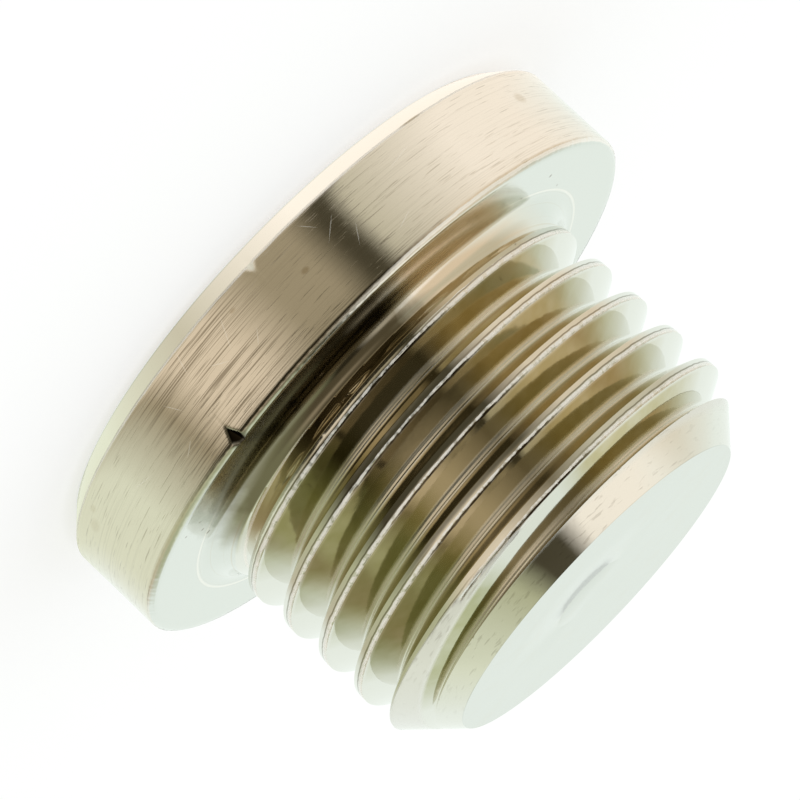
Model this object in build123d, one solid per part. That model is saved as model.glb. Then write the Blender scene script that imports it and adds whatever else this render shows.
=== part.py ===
"""Hex socket plug: a screw-in plug turned from one brass bar, with a G 1/4 parallel pipe thread.

It stands on its head. Z is the axis, z = 0 is the outer face of the head, where the hexagon socket
opens downwards, and the threaded tip points up. Millimetres.
"""
from build123d import *
from math import ceil, cos, pi, radians, tan
import os

# ---- head: a round collar that carries the sealing face on its upper side
collar_diameter = 18.0
head_height = 3.45
head_bevel = 0.6              # bevel round the outer face
rim_break = 0.15              # broken edge round the sealing face

# ---- neck: a cove that runs from the sealing face to the plain blank, where the thread cuts it off
neck_diameter = 12.6
neck_length = 0.53
cove_radius = 0.8

# ---- G 1/4 thread: 19 turns to the inch, Whitworth form of 55 degrees, right-handed
pitch = 25.4 / 19
thread_angle = 55.0
basic_major_diameter = 13.157
crest_diameter = 13.0         # the crests are left flat, a little under the basic size
root_radius = 0.137329 * pitch
crest_level = 9.85            # height at which one crest crosses the -Y side

# ---- tip
overall_length = 11.4
tip_diameter = 10.3
tip_chamfer_length = 1.4

# ---- hexagon socket for a 6 mm key
key_size = 6.0
socket_clearance = 0.05
socket_depth = 5.0
drill_point_angle = 118.0
mouth_bevel = 0.25

# ---- knocks: V-shaped dents, deepest at an edge of the collar, that fade out along its side
rim_knock_azimuth = 293.5
rim_knock_width = 0.42
rim_knock_length = 0.36
rim_knock_depth = 0.32
bevel_knock_azimuth = 270.7
bevel_knock_width = 0.6
bevel_knock_length = 0.3
bevel_knock_depth = 0.12

node_name = "plug_body"
cut_margin = 1.0              # how far a cutting tool reaches past what it cuts

collar_radius = collar_diameter / 2
neck_radius = neck_diameter / 2
crest_radius = crest_diameter / 2
tip_radius = tip_diameter / 2
thread_start = head_height + neck_length


def head_and_neck():
    """Collar, sealing face and cove, as one turned blank that ends where the thread starts."""
    neck_top = head_height + cove_radius + cut_margin
    outline = Polyline(
        (0, 0),
        (collar_radius - head_bevel, 0),
        (collar_radius, head_bevel),
        (collar_radius, head_height - rim_break),
        (collar_radius - rim_break, head_height),
        (neck_radius, head_height),
        (neck_radius, neck_top),
        (0, neck_top),
        close=True,
    )
    section = make_face(outline)
    corner = section.vertices().sort_by_distance((neck_radius, head_height, 0))[0]
    section = fillet(corner, cove_radius)
    blank = revolve(Plane.XZ * section, Axis.Z)
    return split(blank, Plane.XY.offset(thread_start), keep=Keep.BOTTOM)


def groove_turn(level):
    """One turn of the V groove with its rounded root; level is its height at +X, where it begins."""
    slope = tan(radians(thread_angle / 2))
    sharp_height = pitch / 2 / slope
    sharp_crest = basic_major_diameter / 2 + sharp_height / 6
    sharp_root = sharp_crest - sharp_height
    mouth_radius = (crest_radius + sharp_crest) / 2
    mouth_half = (mouth_radius - sharp_root) * slope

    outline = Polyline(
        (sharp_root, level),
        (mouth_radius, level - mouth_half),
        (mouth_radius, level + mouth_half),
        close=True,
    )
    section = make_face(outline)
    root = section.vertices().sort_by(Axis.X)[0]
    section = Plane.XZ * fillet(root, root_radius)
    path = Helix(pitch, pitch, crest_radius, center=(0, 0, level))
    return sweep(section, path=path, is_frenet=True)


def threaded_shank():
    """The shank with its chamfered tip, less the groove, which is cut one turn at a time."""
    outline = Polyline(
        (0, thread_start),
        (crest_radius, thread_start),
        (crest_radius, overall_length - tip_chamfer_length),
        (tip_radius, overall_length),
        (0, overall_length),
        close=True,
    )
    shank = revolve(Plane.XZ * make_face(outline), Axis.Z)

    # the groove lies half a pitch under the crest, and +X is three quarters of a turn before -Y
    level_at_x = crest_level - 0.75 * pitch - pitch / 2
    turns_below = ceil((level_at_x - thread_start) / pitch) + 1
    turns_above = ceil((overall_length - level_at_x) / pitch)
    for turn in range(-turns_below, turns_above + 1):
        shank -= groove_turn(level_at_x + turn * pitch)
    return shank


def hexagon_socket():
    """The hole for the key: a bevelled mouth, a hexagon and the point left by the drill."""
    across_flats = key_size + socket_clearance
    across_corners = across_flats / cos(pi / 6)
    hexagon = RegularPolygon(across_corners / 2, 6)
    walls = Pos(0, 0, -cut_margin) * extrude(hexagon, socket_depth + cut_margin)

    drill_radius = across_flats / 2
    point_height = drill_radius / tan(radians(drill_point_angle / 2))
    point = Pos(0, 0, socket_depth + point_height / 2) * Cone(drill_radius, 0, point_height)

    mouth_radius = across_corners / 2 + mouth_bevel
    mouth = Pos(0, 0, mouth_radius / 2 - cut_margin) * Cone(
        mouth_radius + cut_margin, cut_margin, mouth_radius
    )
    return walls + point + mouth


def knock(azimuth, width, length, depth, edge_height, away):
    """The wedge that cuts one dent; away is +1 or -1, the way along Z in which it fades out."""

    def wedge(distance):
        """Section of the tool at a distance from the edge, where its floor is less deep."""
        floor = collar_radius - depth * (1 - distance / length)
        mouth = collar_radius + cut_margin
        half = (mouth - floor) * width / 2 / depth
        outline = Polyline((floor, 0), (mouth, -half), (mouth, half), close=True)
        return Pos(0, 0, edge_height + away * distance) * make_face(outline)

    return Rot(0, 0, azimuth) * loft([wedge(-cut_margin), wedge(length)])


def plug():
    """The finished piece: one solid."""
    body = head_and_neck() + threaded_shank() - hexagon_socket()
    body -= knock(rim_knock_azimuth, rim_knock_width, rim_knock_length, rim_knock_depth,
                  head_height, away=-1)
    body -= knock(bevel_knock_azimuth, bevel_knock_width, bevel_knock_length, bevel_knock_depth,
                  head_bevel, away=1)
    return body


os.makedirs("parts", exist_ok=True)
export_step(plug(), f"parts/{node_name}.step")
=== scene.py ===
from math import cos, pi, radians, sin, tan

import bpy
import numpy as np
from mathutils import Matrix, Vector


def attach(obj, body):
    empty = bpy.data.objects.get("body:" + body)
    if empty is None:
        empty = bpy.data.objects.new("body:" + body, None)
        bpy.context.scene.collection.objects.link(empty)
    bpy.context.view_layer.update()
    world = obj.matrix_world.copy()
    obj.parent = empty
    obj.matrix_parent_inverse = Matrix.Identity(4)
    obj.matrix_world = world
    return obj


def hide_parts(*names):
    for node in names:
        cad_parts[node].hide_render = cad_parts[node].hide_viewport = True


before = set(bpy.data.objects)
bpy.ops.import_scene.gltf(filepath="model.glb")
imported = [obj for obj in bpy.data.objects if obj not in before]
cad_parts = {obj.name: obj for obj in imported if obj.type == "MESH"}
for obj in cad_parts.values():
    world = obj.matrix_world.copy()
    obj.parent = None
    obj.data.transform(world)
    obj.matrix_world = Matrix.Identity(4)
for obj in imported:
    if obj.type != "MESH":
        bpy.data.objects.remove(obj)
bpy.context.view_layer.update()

# ------------------------------------------------------------------------------------------------
# The turned blank: head, sealing face, cove, hexagon socket and tip face of a brass screw plug.
# It is turned from bar, so each surface is a set of rings round the axis. The knocks at the edges
# of the head are wear. Sizes are in millimetres, and the mesh is brought to metres once it is made.

millimetre = 0.001
full_turn = 2 * pi

collar_radius = 9.0
head_height = 3.45
head_bevel = 0.6
rim_break = 0.15
edge_round = 0.015

cove_radius = 0.8
cove_centre_radius = 7.1
thread_start = 3.98
overall_length = 11.4
tip_radius = 5.15

key_apothem = 3.025
key_corner_radius = key_apothem / cos(pi / 6)
socket_depth = 5.0
drill_point_angle = 118.0
mouth_bevel = 0.25
mouth_radius = key_corner_radius + mouth_bevel

# the knocks are V-shaped, deepest at an edge, and fade out upwards (1) or downwards (-1) from it
rim_knock = {"azimuth_degrees": 293.5, "width": 0.60, "length": 0.56, "depth": 0.32,
             "edge": head_height, "away": -1}
bevel_knock = {"azimuth_degrees": 270.7, "width": 0.42, "length": 0.30, "depth": 0.11,
               "edge": head_bevel, "away": 1}

coarse_columns = 288
fine_columns = 4 * coarse_columns


def azimuths(columns):
    """Azimuth of each column of points round the axis, in radians."""
    return np.arange(columns) * full_turn / columns


def ring(radius, height, columns=coarse_columns):
    """One ring of points; radius and height are numbers, or arrays with one value a column."""
    azimuth = azimuths(columns)
    radius = np.broadcast_to(radius, columns)
    height = np.broadcast_to(height, columns)
    return np.stack([radius * np.cos(azimuth), radius * np.sin(azimuth), height], axis=1)


def ragged(seed, amplitude, waves, columns=fine_columns):
    """A closed random line, as wide as amplitude, for an edge that the tool left a little torn."""
    draw = np.random.default_rng(seed)
    azimuth = azimuths(columns)
    line = np.zeros(columns)
    for count in waves:
        line += draw.uniform(0.4, 1.0) * np.sin(count * azimuth + draw.uniform(0, full_turn))
    return amplitude * line / np.abs(line).max()


def knocked(radius, height, azimuth_degrees, width, length, depth, edge, away):
    """Radii of a fine ring where a V-shaped knock, deepest at an edge, cuts into it."""
    azimuth = azimuths(fine_columns)
    height = np.broadcast_to(height, fine_columns)
    radius = np.broadcast_to(radius, fine_columns)
    turned = azimuth - radians(azimuth_degrees)
    along = np.abs(collar_radius * np.sin(turned))
    distance = (height - edge) * away
    floor = collar_radius - depth * (1 - distance / length)
    cut = floor + along * 2 * depth / width
    return np.where(np.cos(turned) > 0, np.minimum(radius, cut), radius)


def fine_ring(radius, height):
    """A ring of the collar, with the two knocks in it."""
    radius = knocked(radius, height, **rim_knock)
    radius = knocked(radius, height, **bevel_knock)
    return ring(radius, height, fine_columns)


def pole(height):
    """The point in which a surface closes on the axis."""
    return np.array([[0.0, 0.0, height]])


# the socket, from the point that the drill left, down its six walls to the bevel at its mouth
azimuth = azimuths(coarse_columns)
across_flat = (azimuth % (pi / 3)) - pi / 6
hexagon = key_apothem / np.cos(across_flat)
drill_height = key_apothem / tan(radians(drill_point_angle / 2))
mouth_foot = mouth_radius - hexagon

blank_rings = [pole(socket_depth + drill_height)]
for share in (0.12, 0.5, 1.0):
    blank_rings.append(ring(key_apothem * share, socket_depth + drill_height * (1 - share)))
for share in (0.0, 0.5, 0.98, 1.0):
    blank_rings.append(ring(hexagon, socket_depth + (mouth_foot - socket_depth) * share))
blank_rings.append(ring(mouth_radius - edge_round, edge_round))
blank_rings.append(ring(mouth_radius + edge_round, 0))

# the outer face, flat round the socket's mouth
for radius in (4.6, 5.9, 7.2, 8.0):
    blank_rings.append(ring(radius, 0))

# the bevel, the side of the collar and the broken edge round the sealing face
bevel_start = collar_radius - head_bevel
rim_start = head_height - rim_break
side_levels = (0.71, 0.79, 0.90, 1.5, 2.3, 2.84, 2.95, 3.05, 3.11, 3.17, 3.23)
edge_waves = (3, 5, 11, 23, 37, 61, 97, 143, 191, 257)
bevel_edge = ragged(3, 0.012, edge_waves)
rim_edge = ragged(5, 0.022, edge_waves)
face_edge = ragged(8, 0.012, edge_waves)
collar_outline = [
    (8.15, 0),
    (bevel_start - edge_round, 0),
    (bevel_start + edge_round, edge_round),
    (collar_radius - edge_round, head_bevel - edge_round + bevel_edge),
    (collar_radius, head_bevel + edge_round + bevel_edge),
]
for height in side_levels:
    collar_outline.append((collar_radius, height))
collar_outline += [
    (collar_radius, rim_start + rim_edge),
    (collar_radius - 0.018, rim_start + 0.045 + rim_edge * 0.9),
    (collar_radius - rim_break + 0.02 + face_edge, head_height - 0.014),
    (collar_radius - rim_break - 0.01 + face_edge, head_height),
    (8.66, head_height),
]
for radius, height in collar_outline:
    blank_rings.append(fine_ring(radius, height))

# the sealing face, and the cove up to where the thread cuts it off
for radius in (8.5, 8.0, 7.5, cove_centre_radius):
    blank_rings.append(ring(radius, head_height))
cove_centre_height = head_height + cove_radius
cove_turn = np.arccos((cove_centre_height - thread_start) / cove_radius)
cove_steps = 8
for step in range(1, cove_steps + 1):
    turned = cove_turn * step / cove_steps
    blank_rings.append(ring(cove_centre_radius - cove_radius * sin(turned),
                            cove_centre_height - cove_radius * cos(turned)))
cove_foot = cove_centre_radius - cove_radius * sin(cove_turn)

# the tip face, with the short arc where the tool stopped, a little off the centre
arc_radius = 1.15 + 0.45 * np.cos(azimuth + radians(53))
arc_depth = 0.006 * np.clip(np.cos(azimuth - radians(290)) + 0.25, 0.0, 1.0)
arc_half_width = 0.025
tip_rings = [
    ring(tip_radius, overall_length),
    ring(tip_radius - 0.02, overall_length),
    ring(3.4, overall_length),
    ring(arc_radius + arc_half_width, overall_length),
    ring(arc_radius, overall_length - arc_depth),
    ring(arc_radius - arc_half_width, overall_length),
    ring(0.3, overall_length),
    pole(overall_length),
]


def skin(rings, first_point):
    """Faces between rings that follow each other, with the metal on their left-hand side."""
    faces = []
    start = first_point
    for here, there in zip(rings[:-1], rings[1:]):
        a, b = start, start + len(here)
        count_a, count_b = len(here), len(there)
        sides = min(count_a, count_b) if min(count_a, count_b) > 1 else max(count_a, count_b)
        steps_a, steps_b = count_a // sides, count_b // sides
        for i in range(sides):
            lower = [a + (i * steps_a + k) % count_a for k in range(steps_a + 1)]
            upper = [b + (i * steps_b + k) % count_b for k in range(steps_b + 1)]
            if count_a == 1:
                lower = [a]
            if count_b == 1:
                upper = [b]
            faces.append(lower + upper[::-1])
        start = b
    return faces


blank_faces = skin(blank_rings, 0)
tip_first = sum(len(points) for points in blank_rings)
blank_faces += skin(tip_rings, tip_first)
blank_points = np.concatenate(blank_rings + tip_rings) * millimetre

blank_mesh = bpy.data.meshes.new("blank")
blank_mesh.from_pydata(blank_points.tolist(), [], blank_faces)
blank_mesh.update()
blank = bpy.data.objects.new("blank", blank_mesh)
bpy.context.scene.collection.objects.link(blank)


# ------------------------------------------------------------------------------------------------
# The G 1/4 pipe thread: rolled on the shank, so its flanks are smooth and its crests are torn into
# lips. The tree makes it as rows that follow the helix and joins it to the blank. The finish of
# the whole plug, bright nickel plate over the brass, follows its mesh.


class Socket:
    """One output of a node, which Python's operators work on."""

    def __init__(self, tree, socket):
        self.tree = tree
        self.socket = socket

    def math(self, operation, *others):
        return reckon(self.tree, operation, self, *others)

    def __add__(self, other):
        return self.math("ADD", other)

    def __radd__(self, other):
        return self.math("ADD", other)

    def __sub__(self, other):
        return self.math("SUBTRACT", other)

    def __rsub__(self, other):
        return reckon(self.tree, "SUBTRACT", other, self)

    def __mul__(self, other):
        return self.math("MULTIPLY", other)

    def __rmul__(self, other):
        return self.math("MULTIPLY", other)

    def __truediv__(self, other):
        return self.math("DIVIDE", other)

    def __rtruediv__(self, other):
        return reckon(self.tree, "DIVIDE", other, self)

    def __abs__(self):
        return self.math("ABSOLUTE")

    def __lt__(self, other):
        return self.math("LESS_THAN", other)

    def __gt__(self, other):
        return self.math("GREATER_THAN", other)


def reckon(tree, operation, *values):
    """One Math node on values that are numbers or sockets."""
    node = tree.nodes.new("ShaderNodeMath")
    node.operation = operation
    for entry, value in zip(node.inputs, values):
        join(tree, value, entry)
    return Socket(tree, node.outputs[0])


def join(tree, value, entry):
    """Gives a socket its value, or a link when the value is another socket."""
    if isinstance(value, Socket):
        tree.links.new(value.socket, entry)
    else:
        entry.default_value = value


class Bench:
    """Where the nodes of one tree are made."""

    def __init__(self, tree):
        self.tree = tree

    def node(self, kind, settings=None, output=0, **values):
        """A node of a kind: its settings first, then its sockets, named with _ for a space."""
        made = self.tree.nodes.new(kind)
        for name, value in (settings or {}).items():
            setattr(made, name, value)
        for name, value in values.items():
            wanted = name.replace("_", " ")
            entry = next(s for s in made.inputs if s.name == wanted and s.enabled)
            join(self.tree, value, entry)
        live = [s for s in made.outputs if s.enabled]
        if isinstance(output, str):
            return Socket(self.tree, next(s for s in live if s.name == output))
        return Socket(self.tree, live[output])

    def place(self):
        """x, y and z of the shaded point on the object itself, in millimetres."""
        where = self.node("ShaderNodeTexCoord", output="Object")
        parts = self.tree.nodes.new("ShaderNodeSeparateXYZ")
        self.tree.links.new(where.socket, parts.inputs[0])
        return [Socket(self.tree, side) / millimetre for side in parts.outputs]


crest_radius = 6.5
basic_major_radius = 13.157 / 2
pitch = 25.4 / 19
thread_angle = 55.0
root_radius = 0.05
crest_level = 9.85
tip_chamfer_length = 1.4

thread_tree = bpy.data.node_groups.new("pipe_thread", "GeometryNodeTree")
thread_tree.interface.new_socket("Blank", in_out="INPUT", socket_type="NodeSocketGeometry")
thread_tree.interface.new_socket("Plug", in_out="OUTPUT", socket_type="NodeSocketGeometry")

rows_a_turn = 36
turns = 7
turns_below = 5
flank_slope = tan(radians(thread_angle / 2))
sharp_height = pitch / 2 / flank_slope
thread_sizes = {
    "Pitch": pitch,
    "Crest radius": crest_radius,
    "Sharp root radius": basic_major_radius + sharp_height / 6 - sharp_height,
    "Flank slope": flank_slope,
    "Root rounding": root_radius,
    "First crest level": crest_level - 0.75 * pitch - turns_below * pitch,
    "Thread start": thread_start,
    "Cove foot radius": cove_foot,
    "Length": overall_length,
    "Tip radius": tip_radius,
    "Chamfer length": tip_chamfer_length,
    "Fissure depth": 0.045,
    "Tear distance": 0.111,
    "Tear width": 0.04,
    "Lip rounding": 0.012,
    "Tear": 0.02,
    "Run-in slope": 1.1,
}
for name in thread_sizes:
    thread_tree.interface.new_socket(name, in_out="INPUT", socket_type="NodeSocketFloat")
thread_tree.interface.new_socket("Material", in_out="INPUT", socket_type="NodeSocketMaterial")

bench = Bench(thread_tree)
entries = thread_tree.nodes.new("NodeGroupInput")
size = {name: Socket(thread_tree, entries.outputs[name]) for name in thread_sizes}

rows = rows_a_turn * turns + 1
sheet = bench.node("GeometryNodeMeshGrid", output="Mesh", Vertices_X=coarse_columns + 1,
                   Vertices_Y=rows)
index = bench.node("GeometryNodeInputIndex")
column = (index / float(rows)).math("FLOOR")
row = index - column * float(rows)
around = column * (full_turn / coarse_columns)
start_level = size["First crest level"] + column * size["Pitch"] / float(coarse_columns)
row_step = size["Pitch"] / float(rows_a_turn)
level = start_level + row * row_step

root_tangent = size["Root rounding"] * cos(radians(thread_angle / 2))
tangent_radius = size["Sharp root radius"] + root_tangent / size["Flank slope"]
arc_centre = tangent_radius + size["Root rounding"] * sin(radians(thread_angle / 2))
chamfer_start = size["Length"] - size["Chamfer length"]
chamfer_fall = (size["Crest radius"] - size["Tip radius"]) / size["Chamfer length"]


def from_root(height):
    """Distance along the axis to the middle of the nearest groove."""
    share = ((height - start_level) / size["Pitch"]).math("FRACT")
    return abs(share - 0.5) * size["Pitch"]


def groove_radius(height):
    """Radius of the groove: straight flanks that meet a round root."""
    away = from_root(height)
    flank = size["Sharp root radius"] + away / size["Flank slope"]
    inside = (size["Root rounding"] * size["Root rounding"] - away * away).math("MAXIMUM", 0.0)
    arc = arc_centre - inside.math("SQRT")
    in_arc = away < root_tangent
    return arc * in_arc + flank * (1 - in_arc)


def blank_radius(height):
    """Radius of the blank before the groove: the crest, or the chamfer at the tip."""
    chamfer = size["Tip radius"] + (size["Length"] - height) * chamfer_fall
    return chamfer.math("MINIMUM", size["Crest radius"])


def groove_over_blank(height):
    """How far the groove's surface lies outside the blank's, and so isn't there."""
    return groove_radius(height) - blank_radius(height)


# the row nearest to an edge between groove and blank moves onto that edge, so it stays crisp
over = groove_over_blank(level)
over_above = groove_over_blank(level + row_step)
over_below = groove_over_blank(level - row_step)
edge_above = (over * over_above < 0.0) * (1 - (abs(over) > abs(over_above)))
edge_below = (over * over_below < 0.0) * (abs(over) < abs(over_below))
move_up = edge_above * row_step * over / (over - over_above + (1 - edge_above))
move_down = edge_below * row_step * over / (over - over_below + (1 - edge_below))
to_chamfer = chamfer_start - level
near_chamfer = (abs(to_chamfer) < row_step * 0.5) * (over > 0.0)
near_chamfer = near_chamfer * (1 - edge_above) * (1 - edge_below)
on_thread = (level > size["Thread start"]) * (level < size["Length"])
moved = level + (move_up - move_down + to_chamfer * near_chamfer) * on_thread
moved = moved.math("MAXIMUM", size["Thread start"]).math("MINIMUM", size["Length"])

smooth_radius = groove_radius(moved).math("MINIMUM", blank_radius(moved))

# the lip that rolling raised along the crest, and the torn line behind it on the tip's side
crest_share = ((moved - start_level) / size["Pitch"] + 0.5).math("FRACT")
beyond_crest = (crest_share - 0.5) * size["Pitch"]
wear_reach = 0.16
on_crest = (abs(beyond_crest) < wear_reach) * (moved < chamfer_start + 0.05)
on_crest = on_crest * (moved > size["Thread start"] + 0.001)
crest_point = bench.node("ShaderNodeCombineXYZ", X=around.math("COSINE") * crest_radius,
                         Y=around.math("SINE") * crest_radius, Z=moved)
tear_noise = bench.node("ShaderNodeTexNoise", {"noise_dimensions": "3D"},
                        Vector=crest_point, Scale=4.0, Detail=3.0)
tear = (tear_noise - 0.5) * size["Tear"] * 2.0
tear_here = 1 - abs(beyond_crest - size["Tear distance"]) / size["Tear width"]
fissure = tear_here.math("MAXIMUM", 0.0) * size["Fissure depth"] * (0.4 + tear_noise * 1.2)
head_side = ((-1.0 * beyond_crest - 0.02) / 0.13).math("MAXIMUM", 0.0)
head_side = head_side * size["Lip rounding"]
tip_side = tear.math("MAXIMUM", 0.0) * (beyond_crest > 0.0)
crest_wear = on_crest * (fissure + head_side + tip_side)

# the tool runs into the thread from the foot of the cove, so no ledge is left there
run_in = size["Cove foot radius"] - (moved - size["Thread start"]) * size["Run-in slope"]
radius_here = (smooth_radius - crest_wear).math("MAXIMUM", run_in)

first_row = row < 0.5
final_radius = size["Cove foot radius"] * first_row + radius_here * (1 - first_row)
position = bench.node("ShaderNodeCombineXYZ",
                      X=around.math("COSINE") * final_radius * millimetre,
                      Y=around.math("SINE") * final_radius * millimetre,
                      Z=moved * millimetre)
thread = bench.node("GeometryNodeSetPosition", Geometry=sheet, Position=position)
joined_node = thread_tree.nodes.new("GeometryNodeJoinGeometry")
thread_tree.links.new(entries.outputs["Blank"], joined_node.inputs[0])
thread_tree.links.new(thread.socket, joined_node.inputs[0])
joined = Socket(thread_tree, joined_node.outputs[0])
merge_distance = 0.0012 * millimetre
merged = bench.node("GeometryNodeMergeByDistance", Geometry=joined, Distance=merge_distance)
real = bench.node("GeometryNodeRealizeInstances", Geometry=merged)
finished = bench.node("GeometryNodeSetMaterial", Geometry=real,
                      Material=Socket(thread_tree, entries.outputs["Material"]))
leaving = thread_tree.nodes.new("NodeGroupOutput")
thread_tree.links.new(finished.socket, leaving.inputs[0])

nickel = bpy.data.materials.new("nickel_plate")
nickel.use_nodes = True

maker = blank.modifiers.new("pipe_thread", "NODES")
maker.node_group = thread_tree
for item in thread_tree.interface.items_tree:
    if item.name in thread_sizes:
        maker[item.identifier] = thread_sizes[item.name]
    elif item.name == "Material":
        maker[item.identifier] = nickel

depsgraph = bpy.context.evaluated_depsgraph_get()
plug_mesh = bpy.data.meshes.new_from_object(blank.evaluated_get(depsgraph), depsgraph=depsgraph)
plug_mesh.name = "plug"
bpy.data.objects.remove(blank)
sharp_edge_angle = 38
plug_mesh.shade_smooth()
plug_mesh.set_sharp_from_angle(angle=radians(sharp_edge_angle))
plug = bpy.data.objects.new("plug", plug_mesh)
bpy.context.scene.collection.objects.link(plug)

# the finish: masks on the plug's own millimetres say where each colour and mark goes
bench = Bench(nickel.node_tree)
shader = next(n for n in nickel.node_tree.nodes if n.type == "BSDF_PRINCIPLED")
x, y, z = bench.place()
out = (x * x + y * y).math("SQRT")


def ramp(value, low, high):
    """0 below low and 1 above high, or the other way round when low is the higher."""
    return ((value - low) / (high - low)).math("MAXIMUM", 0.0).math("MINIMUM", 1.0)


def blend(share, first, second):
    """A colour between two, by a share from 0 to 1."""
    node = share.tree.nodes.new("ShaderNodeMix")
    node.data_type = "RGBA"
    join(share.tree, share, node.inputs[0])
    for entry, value in ((node.inputs[6], first), (node.inputs[7], second)):
        if isinstance(value, tuple):
            value = (*value, 1.0)
        join(share.tree, value, entry)
    return Socket(share.tree, node.outputs[2])


def noise(along, across, scale, detail=3.0, roughness=0.55):
    """Noise whose grain is along mm long round the axis and across mm wide along it."""
    vector = bench.node("ShaderNodeCombineXYZ", X=x / along, Y=y / along, Z=z / across)
    return bench.node("ShaderNodeTexNoise", Vector=vector, Scale=scale, Detail=detail,
                      Roughness=roughness)


def mark(azimuth_degrees, level, along, up, lean_degrees=0.0):
    """1 in the middle of a small mark on the collar's side or rim, and 0 from its edge outwards."""
    toward = (cos(radians(azimuth_degrees)), sin(radians(azimuth_degrees)))
    round_it = y * toward[0] - x * toward[1]
    over_it = z - level
    lean = radians(lean_degrees)
    aside = (round_it * cos(lean) + over_it * sin(lean)) / along
    above = (over_it * cos(lean) - round_it * sin(lean)) / up
    near_side = x * toward[0] + y * toward[1] > 0.0
    return ramp((aside * aside + above * above).math("SQRT"), 1.0, 0.45) * near_side


# where on the plug
chamfer_slope = 0.964
on_side = ramp(out, collar_radius - 0.05, collar_radius - 0.02)
on_bevel = ramp(z, head_bevel - 0.03, head_bevel - 0.06)
on_bevel = on_bevel * ramp(out, bevel_start + 0.04, bevel_start + 0.06)
on_end = ramp(z, overall_length - 0.02, overall_length - 0.005)
in_corner = ramp(z, head_height - 0.03, head_height - 0.01) * ramp(out, 8.9, 8.8)
in_corner = in_corner * ramp(z, thread_start + 0.02, thread_start)
in_thread = ramp(z, thread_start - 0.02, thread_start + 0.02)
in_thread = in_thread * ramp(z, overall_length - 0.005, overall_length - 0.02)
on_chamfer = in_thread * ramp(out + z * chamfer_slope, 16.08, 16.13)
last_land = on_chamfer * ramp(z, 10.75, 10.60)
below_chamfer = in_thread * (1 - on_chamfer)
toward_front = (y / out) * -1.0
faces_front = ramp(toward_front, 0.90, 0.97)

# colours of the plate, of what lies on it, and of the brass that shows where it is worn, and the
# colours of the painted shade, highlights and reflections
plate_flat = (0.72, 0.74, 0.69)
plate_side = (0.80, 0.765, 0.69)
bevel_plate_highlight = (0.90, 0.88, 0.82)
plate_end = (0.67, 0.69, 0.64)
plate_thread = (0.78, 0.775, 0.71)
# bright worn metal, also the painted highlights on the lips, the root and the collar's edges
bright_wear_and_highlight = (0.97, 0.92, 0.84)
# painted warm reflection for the front left of the sealing face
warm_reflection_colour = (0.82, 0.74, 0.62)
# dull tone of the plate, also the painted shade on the flanks that face the head
dull_tone_and_shade = (0.62, 0.56, 0.42)
# painted reflection on the flanks that face the tip
reflected_gold = (0.54, 0.485, 0.29)
reflected_green = (0.48, 0.48, 0.30)
# painted dark reflection for the front of the sealing face
dark_reflection_colour = (0.28, 0.26, 0.20)
stain = (0.40, 0.30, 0.16)
# dark worn metal, also the painted shade in the fissures and under the rim
worn_dark_and_shade = (0.20, 0.17, 0.12)
# near black, the painted shade in the rim's knock
knock_shade_colour = (0.020, 0.016, 0.010)

# brushed streaks round the collar, broadest and darkest where it rubbed
brushed = noise(5.0, 0.045, 1.0)
streaks = noise(7.0, 0.035, 1.0, detail=2.0)
broad_streaks = noise(4.0, 0.08, 1.0, detail=2.0)
dashes = ramp(noise(1.1, 0.03, 1.0, detail=1.0), 0.66, 0.72)
rubbed = noise(1.0, 1.0, 1.0)
blotches = noise(0.7, 0.7, 1.0, detail=2.0)
rub_toward = (cos(radians(289)), sin(radians(289)))
rub_turn = (x * rub_toward[0] + y * rub_toward[1]) / out
rub = ramp(rub_turn, cos(radians(17)), cos(radians(8)))
streak_share = ramp(streaks, 0.52, 0.66) * on_side * (0.10 + rub * 0.6)
broad_share = ramp(broad_streaks, 0.56, 0.62) * rub * on_side * 0.7
streak_share = streak_share.math("MAXIMUM", broad_share)

# distance along the axis from the middle of the nearest crest: the flank above it is positive
wobble = (noise(0.4, 0.4, 1.0, detail=2.0) - 0.5) * 0.05
crest_at_x = crest_level - 0.75 * pitch
turn_share = y.math("ARCTAN2", x) / full_turn
from_middle = (((z - crest_at_x) / pitch - turn_share + 0.5).math("FRACT") - 0.5) * pitch
ragged_middle = from_middle + wobble

# the fissure and the lip that rolling left on each crest, the root and the two flanks: painted
# shade in the fissure, painted highlights on the lip and the root, and painted shade and
# reflection on the flanks towards the front
# painted shade in the fissure along each crest
fissure_shade = ramp(abs(ragged_middle + 0.01), 0.026, 0.014) * (1 - faces_front) * 0.8
front_fissure_shade = ramp(abs(ragged_middle - 0.125), 0.035, 0.02) * faces_front
fissure_shade = fissure_shade.math("MAXIMUM", front_fissure_shade) * below_chamfer
lip_noise = noise(0.22, 0.22, 1.0, detail=3.0)
lip_end = 0.115 - faces_front * 0.035 + (lip_noise - 0.5) * 0.09
# painted highlight on the lip of each crest
lip_highlight = ramp(ragged_middle, 0.018, 0.030) * ramp(ragged_middle - lip_end, 0.010, -0.010)
lip_highlight = lip_highlight * (0.45 + ramp(lip_noise, 0.38, 0.50) * 0.55) * below_chamfer
# painted highlight along the root
painted_root_highlight = ramp(abs(from_middle + pitch / 2 - 0.055), 0.035, 0.015) * below_chamfer
up_flank = ramp(from_middle, 0.15, 0.20) * ramp(from_middle, 0.64, 0.58) * below_chamfer
down_flank = ramp(from_middle, -0.15, -0.20) * ramp(from_middle, -0.64, -0.58) * below_chamfer
# painted shade: the flanks that face the head go darker towards the front
painted_down_flank_shade = down_flank * ramp(toward_front, 0.30, 0.60)
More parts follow.
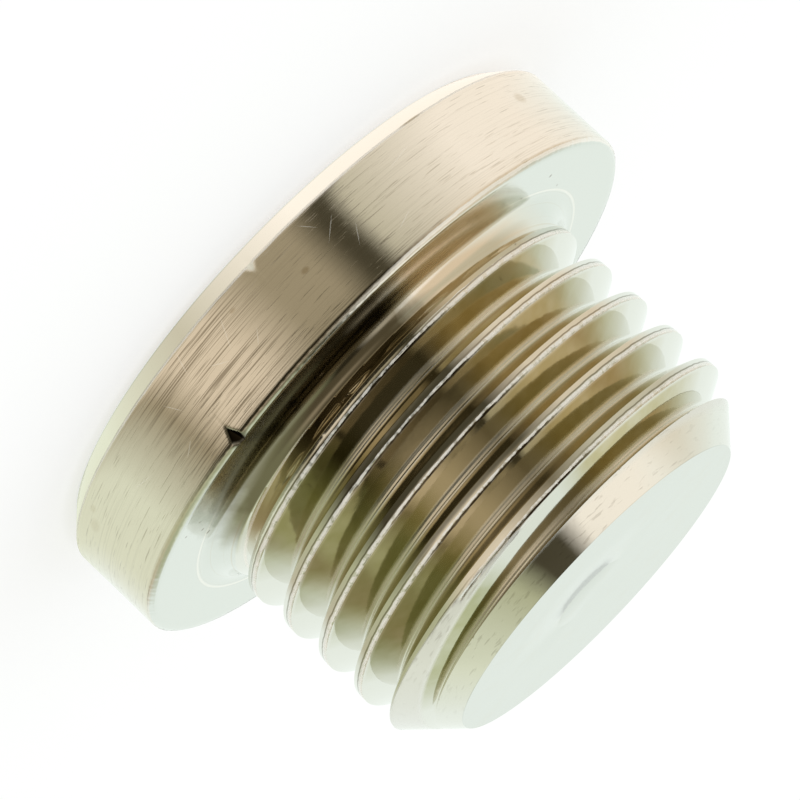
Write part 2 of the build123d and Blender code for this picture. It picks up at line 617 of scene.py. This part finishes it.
# painted reflection: the flanks that face the tip turn olive and gold towards the front
painted_flank_reflection = up_flank * ramp(toward_front, 0.30, 0.60) * ramp(toward_front, 0.985, 0.94)
painted_flank_reflection = painted_flank_reflection * (0.75 + ramp(blotches, 0.35, 0.65) * 0.25)
flank_reflection_colour = blend(ramp(x, -1.0, 1.0), reflected_gold, reflected_green)

# rings left on the sealing face by the tool, and the painted dark reflection and the painted warm
# reflection on its front
corner_rings = bench.node("ShaderNodeTexNoise", {"noise_dimensions": "1D"}, W=out * 9.0,
                          Scale=1.0, Detail=2.0)
corner_rings = ramp(corner_rings, 0.62, 0.70) * ramp(out, 7.4, 7.3) * in_corner
ring_line = ramp(abs(out - 7.24), 0.05, 0.02) * in_corner
front_x = x + (rubbed - 0.5) * 1.5
# painted dark reflection on the front of the sealing face and its corner
painted_dark_reflection = ramp(front_x, -2.3, -1.5) * ramp(front_x, 6.3, 4.6) * ramp(y, -2.0, -3.0) * in_corner
# painted warm reflection on the front left of the sealing face
painted_warm_reflection = ramp(x, -6.4, -5.4) * ramp(x, -1.8, -2.6) * ramp(y, 0.0, -2.0) * in_corner

# bright lines along both edges of the collar, partly wear and partly painted highlight, and the
# shadow line under the rim's
bevel_line = ramp(abs(z + wobble * 1.2 - head_bevel), 0.040, 0.022) * ramp(out, 8.9, 8.95)
rim_line = ramp(abs(z + wobble * 0.8 - 3.36), 0.05, 0.03) * ramp(out, 8.80, 8.83)
rim_line = rim_line * ramp(x, 0.5, -2.5)
rim_shadow = ramp(z + wobble - 3.27, 0.0, 0.02) * ramp(out, 8.96, 8.985)
rim_shadow = rim_shadow * ramp(x, -3.0, -2.0) * ramp(x, 4.6, 3.6) * ramp(y, 0.0, -1.0)
scuffs = ramp(noise(0.5, 0.08, 1.0), 0.58, 0.66) * on_chamfer
scuff_share = scuffs * (0.06 + ramp(toward_front, 0.5, 0.8) * 0.20)

colour = blend(on_side, plate_flat, plate_side)
# the bevel's plate is brighter than the rest: a painted highlight
colour = blend(on_bevel, colour, bevel_plate_highlight)
colour = blend(on_end, colour, plate_end)
colour = blend(on_end * ramp(blotches, 0.50, 0.72) * 0.10, colour, dull_tone_and_shade)
colour = blend(corner_rings * 0.5, colour, dull_tone_and_shade)
colour = blend(painted_warm_reflection * 0.8, colour, warm_reflection_colour)
colour = blend(ring_line * 0.6, colour, bright_wear_and_highlight)
colour = blend(painted_dark_reflection, colour, dark_reflection_colour)
colour = blend(in_thread, colour, plate_thread)
colour = blend(painted_flank_reflection, colour, flank_reflection_colour)
colour = blend(painted_down_flank_shade, colour, dull_tone_and_shade)
colour = blend(painted_root_highlight.math("MAXIMUM", lip_highlight), colour, bright_wear_and_highlight)
colour = blend(bevel_line.math("MAXIMUM", rim_line), colour, bright_wear_and_highlight)
colour = blend(rim_shadow * 0.85, colour, worn_dark_and_shade)
colour = blend(scuff_share, colour, worn_dark_and_shade)
colour = blend(fissure_shade * 0.9, colour, worn_dark_and_shade)
colour = blend(streak_share, colour, worn_dark_and_shade)
colour = blend(dashes * on_side * 0.35, colour, worn_dark_and_shade)

# brown spots on the collar's side: azimuth, height, half length, half height and strength
for azimuth_degrees, height, along, up, strength in (
    (265.0, 1.79, 0.16, 0.10, 0.45),
    (206.5, 1.55, 0.30, 0.22, 0.30),
    (332.0, 1.16, 0.40, 0.20, 0.15),
    (328.0, 0.95, 0.22, 0.12, 0.15),
    (278.0, 1.10, 0.12, 0.07, 0.30),
):
    colour = blend(mark(azimuth_degrees, height, along, up) * strength, colour, stain)

# scratches across the collar's side: azimuth, height, half length and lean
scratch_half_width = 0.016
scratch_marks = []
for azimuth_degrees, height, along, lean_degrees in (
    (281.5, 1.35, 0.55, 62.0), (286.0, 1.75, 0.38, -35.0), (278.2, 2.05, 0.30, 48.0),
    (301.0, 2.48, 0.30, 25.0), (257.0, 1.45, 0.45, 40.0), (254.5, 2.05, 0.35, 55.0),
    (259.5, 1.00, 0.30, -50.0), (290.5, 0.95, 0.40, 70.0), (247.0, 2.60, 0.40, 20.0),
    (297.5, 1.50, 0.35, -60.0), (239.0, 1.20, 0.55, 12.0), (313.0, 1.90, 0.50, -15.0),
):
    scratch_marks.append(mark(azimuth_degrees, height, along, scratch_half_width, lean_degrees))
scratches = scratch_marks[0]
for scratch in scratch_marks[1:]:
    scratches = scratches.math("MAXIMUM", scratch)
scratches = scratches * on_side
colour = blend(scratches * 0.5, colour, bright_wear_and_highlight)

# dark specks on the sealing face: azimuth, distance from the axis and half width
for azimuth_degrees, radius, across in (
    (205.0, 7.85, 0.07), (232.0, 7.60, 0.05), (213.0, 7.30, 0.05), (318.0, 7.95, 0.06),
    (323.0, 7.55, 0.07), (320.5, 8.35, 0.05), (327.0, 7.15, 0.09), (196.0, 7.40, 0.04),
):
    speck_x = x - radius * cos(radians(azimuth_degrees))
    speck_y = y - radius * sin(radians(azimuth_degrees))
    speck_distance = (speck_x * speck_x + speck_y * speck_y).math("SQRT")
    speck = ramp(speck_distance, across, across * 0.5)
    colour = blend(speck * in_corner * 0.85, colour, worn_dark_and_shade)

# painted shade in the rim's knock, and a stain along the bevel's edge
painted_rim_knock_shade = mark(rim_knock["azimuth_degrees"], 3.15, 0.42, 0.50)
painted_rim_knock_shade = painted_rim_knock_shade * ramp(out, collar_radius - 0.015, collar_radius - 0.045)
colour = blend(painted_rim_knock_shade, colour, knock_shade_colour)
colour = blend(mark(232.0, 0.59, 0.55, 0.05) * 0.7, colour, stain)
join(nickel.node_tree, colour, shader.inputs["Base Color"])

# torn and scored metal scatters light, so it is taken as less metallic than the plate. This also
# lets the painted highlights on the lips, the root and the collar's edges show bright
torn = (lip_highlight * 0.85).math("MAXIMUM", scratches * 0.3)
torn = torn.math("MAXIMUM", painted_root_highlight * 0.35).math("MAXIMUM", last_land * 0.65)
torn = torn.math("MAXIMUM", bevel_line * 0.7).math("MAXIMUM", rim_line * 0.6)
join(nickel.node_tree, 1.0 - torn, shader.inputs["Metallic"])

rough = 0.11 + on_side * (0.05 + (brushed - 0.5) * 0.2) - in_thread * 0.055
rough = rough + (rubbed - 0.5) * 0.05 + on_chamfer * 0.05
join(nickel.node_tree, rough, shader.inputs["Roughness"])
shader.inputs["Anisotropic"].default_value = 0.6
shader.inputs["Anisotropic Rotation"].default_value = 0.25

relief = (streaks - 0.5) * on_side * 1.2 + (rubbed - 0.5) * 0.8 - dashes * on_side * 0.8
relief = relief + (blotches - 0.5) * in_thread * 0.8
bump = bench.node("ShaderNodeBump", Strength=0.35, Distance=0.00001, Height=relief)
join(nickel.node_tree, bump, shader.inputs["Normal"])

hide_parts("plug_body")
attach(plug, "root")

# ------------------------------------------------------------------------------------------------
# The floor: a white sweep that fills the view. It takes the plug's soft shadow, and it is plain
# white in the metal.

floor_mesh = bpy.data.meshes.new("floor")
floor_half = 1.5
floor_mesh.from_pydata(
    [(-floor_half, -floor_half, 0), (floor_half, -floor_half, 0),
     (floor_half, floor_half, 0), (-floor_half, floor_half, 0)], [], [(0, 1, 2, 3)])
floor = bpy.data.objects.new("floor", floor_mesh)
bpy.context.scene.collection.objects.link(floor)
paper = bpy.data.materials.new("white_paper")
paper.use_nodes = True
paper.node_tree.nodes.clear()
floor_mesh.materials.append(paper)

bench = Bench(paper.node_tree)
path = paper.node_tree.nodes.new("ShaderNodeLightPath")
seen_in_metal = Socket(paper.node_tree, path.outputs["Is Glossy Ray"])
seen_through = Socket(paper.node_tree, path.outputs["Is Transmission Ray"])
straight = Socket(paper.node_tree, path.outputs["Is Camera Ray"])
paper_grey = 0.5
paper_glow = 0.52
lit = bench.node("ShaderNodeBsdfDiffuse", Color=(paper_grey, paper_grey, paper_grey, 1))
glow = bench.node("ShaderNodeEmission", Color=(1, 1, 1, 1), Strength=straight * paper_glow)
sheet_of_paper = paper.node_tree.nodes.new("ShaderNodeAddShader")
paper.node_tree.links.new(lit.socket, sheet_of_paper.inputs[0])
paper.node_tree.links.new(glow.socket, sheet_of_paper.inputs[1])
plain_white = bench.node("ShaderNodeEmission", Color=(0.97, 1.0, 0.98, 1), Strength=1.0)
choice = paper.node_tree.nodes.new("ShaderNodeMixShader")
join(paper.node_tree, seen_in_metal + seen_through, choice.inputs[0])
paper.node_tree.links.new(sheet_of_paper.outputs[0], choice.inputs[1])
paper.node_tree.links.new(plain_white.socket, choice.inputs[2])
paper_out = paper.node_tree.nodes.new("ShaderNodeOutputMaterial")
paper.node_tree.links.new(choice.outputs[0], paper_out.inputs[0])

# ------------------------------------------------------------------------------------------------
# The light: an even white world and no lamps. A painted tent stands close round the plug, and only
# reflections see it: its cards give the bright metal something to show.

world = bpy.data.worlds.new("white_room")
bpy.context.scene.world = world
world.use_nodes = True
room = world.node_tree.nodes["Background"]
room.inputs["Color"].default_value = (0.98, 1.0, 0.98, 1)
room.inputs["Strength"].default_value = 1.0

tent_radius = 12.5
tent_wall = 12.5
tent_columns = 96
tent_profile = [
    (8.4, 0.012), (9.2, 0.03), (tent_radius, 0.03), (tent_radius, 6.0), (tent_radius, tent_wall),
]
for step in range(1, 12):
    lean = pi / 2 * step / 12
    tent_profile.append((tent_radius * cos(lean), tent_wall + tent_radius * sin(lean)))
tent_rings = [ring(radius, height, tent_columns) for radius, height in tent_profile]
tent_rings.append(pole(tent_wall + tent_radius))
tent_mesh = bpy.data.meshes.new("reflection_tent")
tent_mesh.from_pydata((np.concatenate(tent_rings) * millimetre).tolist(), [], skin(tent_rings, 0))
reflection_tent = bpy.data.objects.new("reflection_tent", tent_mesh)
bpy.context.scene.collection.objects.link(reflection_tent)
reflection_tent.visible_camera = False
reflection_tent.visible_diffuse = False
reflection_tent.visible_shadow = False
reflection_tent.visible_transmission = False
reflection_tent.visible_volume_scatter = False

cloth = bpy.data.materials.new("tent_cloth")
cloth.use_nodes = True
cloth.node_tree.nodes.clear()
tent_mesh.materials.append(cloth)
bench = Bench(cloth.node_tree)
tent_x, tent_y, tent_z = bench.place()
tent_turn = (tent_y.math("ARCTAN2", tent_x) / full_turn).math("FRACT")

# the cards on the tent: where each is, by its azimuth in degrees, in rows from the floor to the
# roof. Each blends into the next, and the dark ones are on the side of the camera.
white = (0.96, 1.02, 0.98)
cream = (1.12, 1.04, 0.94)
sand = (0.84, 0.72, 0.56)
khaki = (0.64, 0.60, 0.47)
drab = (0.40, 0.34, 0.23)
brown = (0.24, 0.20, 0.13)
umber = (0.07, 0.060, 0.036)
sage = (0.84, 0.88, 0.72)
moss = (0.52, 0.53, 0.35)
foot_cards = [
    (0, sage), (30, white), (150, white), (190, cream), (216, cream), (246, khaki),
    (250, umber), (254, umber), (261, drab), (272, drab), (286, sand), (298, sand),
    (308, drab), (332, sage),
]
apron_cards = [
    (0, sage), (30, white), (150, white), (190, cream), (258, cream), (288, khaki), (315, sage),
]
middle_cards = [
    (0, khaki), (15, white), (165, white), (185, sand), (228, sand), (250, umber), (306, umber),
    (330, moss),
]
shoulder_cards = [
    (0, moss), (30, white), (160, white), (190, khaki), (230, khaki), (254, brown), (280, sand),
    (298, sand), (315, moss),
]
eaves_cards = [
    (0, sage), (35, white), (145, white), (190, sand), (222, sand), (246, brown), (300, brown),
    (335, moss),
]
roof_cards = [
    (0, sage), (35, white), (145, white), (205, cream), (246, cream), (264, umber), (284, umber),
    (305, moss),
]


def card_row(cards):
    """The colours of one row of cards, blended from each to the next round the tent."""
    band = cloth.node_tree.nodes.new("ShaderNodeValToRGB")
    stops = band.color_ramp.elements
    stops.remove(stops[1])
    for number, (degrees, shade) in enumerate(cards + [(360, cards[0][1])]):
        stop = stops[0] if number == 0 else stops.new(degrees / 360)
        stop.position = degrees / 360
        stop.color = (*shade, 1)
    join(cloth.node_tree, tent_turn, band.inputs[0])
    return Socket(cloth.node_tree, band.outputs[0])


tent_out = (tent_x * tent_x + tent_y * tent_y).math("SQRT")
painted = blend(ramp(tent_out, 10.2, 9.2), card_row(foot_cards), card_row(apron_cards))
painted = blend(ramp(tent_z, 2.2, 3.2), painted, card_row(middle_cards))
painted = blend(ramp(tent_z, 5.5, 7.5), painted, card_row(shoulder_cards))
painted = blend(ramp(tent_z, 9.5, 11.5), painted, card_row(eaves_cards))
painted = blend(ramp(tent_z, 17.5, 19.5), painted, card_row(roof_cards))
crown = blend(ramp(tent_y, -4.0, -1.5), (0.14, 0.13, 0.09), (0.88, 0.94, 0.88))
painted = blend(1 - ramp(tent_out, 5.0, 8.0), painted, crown)
cloth_glow = bench.node("ShaderNodeEmission", Color=painted, Strength=1.0)
cloth_out = cloth.node_tree.nodes.new("ShaderNodeOutputMaterial")
cloth.node_tree.links.new(cloth_glow.socket, cloth_out.inputs[0])

# ------------------------------------------------------------------------------------------------
# The camera: a long lens, a little above the plug and rolled well over, with the plug across it.

camera_data = bpy.data.cameras.new("camera")
camera = bpy.data.objects.new("camera", camera_data)
bpy.context.scene.collection.objects.link(camera)
bpy.context.scene.camera = camera
camera_data.sensor_width = 36.0
camera_data.lens = 256.56
camera_data.clip_start = 0.01
camera_data.clip_end = 10.0
camera_elevation = radians(12.96)
camera_roll = radians(226.708)
aim_point = Vector((-0.03, 0.0, 3.89)) * millimetre
aim_distance = 154.8 * millimetre
back = Vector((0, -cos(camera_elevation), sin(camera_elevation)))
right = Vector((1, 0, 0))
up = Vector((0, sin(camera_elevation), cos(camera_elevation)))
x_axis = right * cos(camera_roll) - up * sin(camera_roll)
y_axis = right * sin(camera_roll) + up * cos(camera_roll)
turn = Matrix((x_axis, y_axis, back)).transposed()
camera.matrix_world = Matrix.Translation(aim_point + back * aim_distance) @ turn.to_4x4()

bpy.context.scene.view_settings.view_transform = "Standard"
